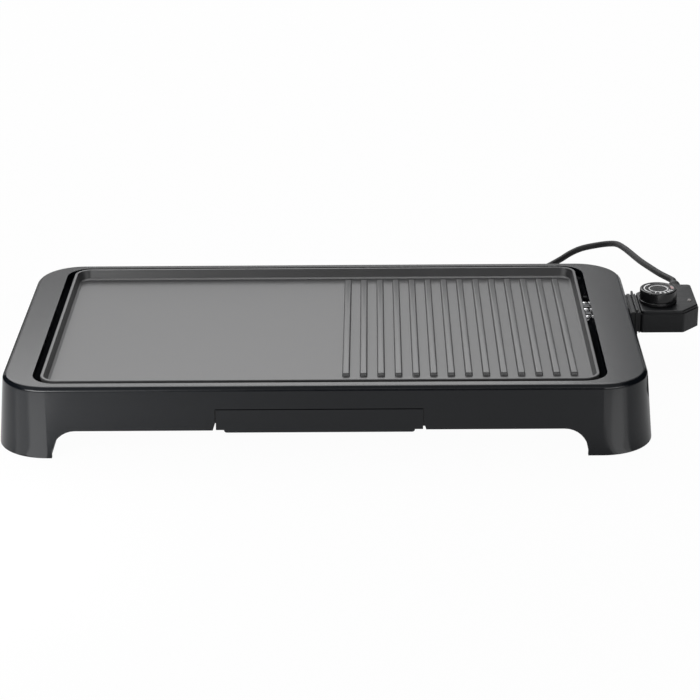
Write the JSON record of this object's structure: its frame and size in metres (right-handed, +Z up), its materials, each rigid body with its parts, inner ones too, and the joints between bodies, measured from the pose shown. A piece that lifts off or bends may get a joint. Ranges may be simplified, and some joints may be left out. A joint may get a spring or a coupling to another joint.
{
  "type": "electric plancha",
  "caption": "Low electric plancha with a half-flat, half-ribbed cooking plate in a black legged frame, a sliding drip tray and a plug-in dial controller with its cord.",
  "frame": {"origin": "on the table, under the middle of the object's box without its cord", "axes": "+X to the right, towards the controller; +Y from the front, with the drip tray, to the back; +Z up"},
  "size_m": [0.642, 0.5276, 0.07],
  "materials": {
    "frame_plastic": "glossy moulded black plastic with a fine grain",
    "foot_rubber": "matte rubber",
    "plate_coating": "cast aluminium under a dark grey non-stick coating",
    "sheet_metal": "rolled sheet, satin",
    "fastener_steel": "zinc-plated steel",
    "element_sheath": "heat-darkened steel sheath",
    "ceramic": "unglazed white ceramic",
    "contact_steel": "plated steel, satin",
    "shell_plastic": "finely grained black plastic",
    "dial_plastic": "polished black plastic",
    "contact_brass": "drawn brass",
    "lens_amber": "clear-tinted amber plastic",
    "lamp_glass": "small neon bulb",
    "cord_rubber": "matte grey-black sheath",
    "tie_plastic": "soft strap"
  },
  "bodies": {
    "base": {"base_frame": "frame_plastic", "rubber_feet": "foot_rubber", "reflector": "sheet_metal", "reflector_screws": "fastener_steel", "heating_element": "element_sheath", "element_clips": "fastener_steel", "terminal_bracket": "fastener_steel", "bracket_screws": "fastener_steel", "pin_insulators": "ceramic", "terminal_pins": "contact_steel", "probe_guide": "contact_steel", "tray_rail_left": "sheet_metal", "tray_rail_right": "sheet_metal", "rail_rivets": "fastener_steel"},
    "plate": {"cooking_plate": "plate_coating"},
    "tray": {"drip_tray": "frame_plastic"},
    "controller": {"shell_lower": "shell_plastic", "shell_upper": "shell_plastic", "connector_nose": "shell_plastic", "contact_sockets": "contact_brass", "probe_rod": "contact_steel", "thermostat_bracket": "fastener_steel", "bimetal_blade": "contact_brass", "contact_blades": "contact_brass", "pilot_lens": "lens_amber", "pilot_lamp": "lamp_glass", "shell_screws": "fastener_steel", "cable_clamp": "shell_plastic", "clamp_screws": "fastener_steel", "strain_relief": "cord_rubber", "cord_free": "cord_rubber", "cord_coil": "cord_rubber", "cord_tail": "cord_rubber", "cord_tie": "tie_plastic", "plug_body": "cord_rubber", "plug_pins": "contact_steel"},
    "dial": {"dial_knob": "dial_plastic", "knob_spindle": "fastener_steel"}
  },
  "joints": [
    {"name": "plate_lift", "type": "slide", "parent": "base", "child": "plate", "axis": [0, 0, 1], "range_m": [0, 0.12]},
    {"name": "tray_slide", "type": "slide", "parent": "base", "child": "tray", "axis": [0, -1, 0], "range_m": [0, 0.12]},
    {"name": "controller_pull", "type": "slide", "parent": "base", "child": "controller", "axis": [1, 0, 0], "range_m": [0, 0.09]},
    {"name": "dial_turn", "type": "hinge", "parent": "controller", "child": "dial", "pos_m": [0.28303, 0.0705, 0.0564], "axis": [0, 0, -1], "range_deg": [0, 270]}
  ]
}
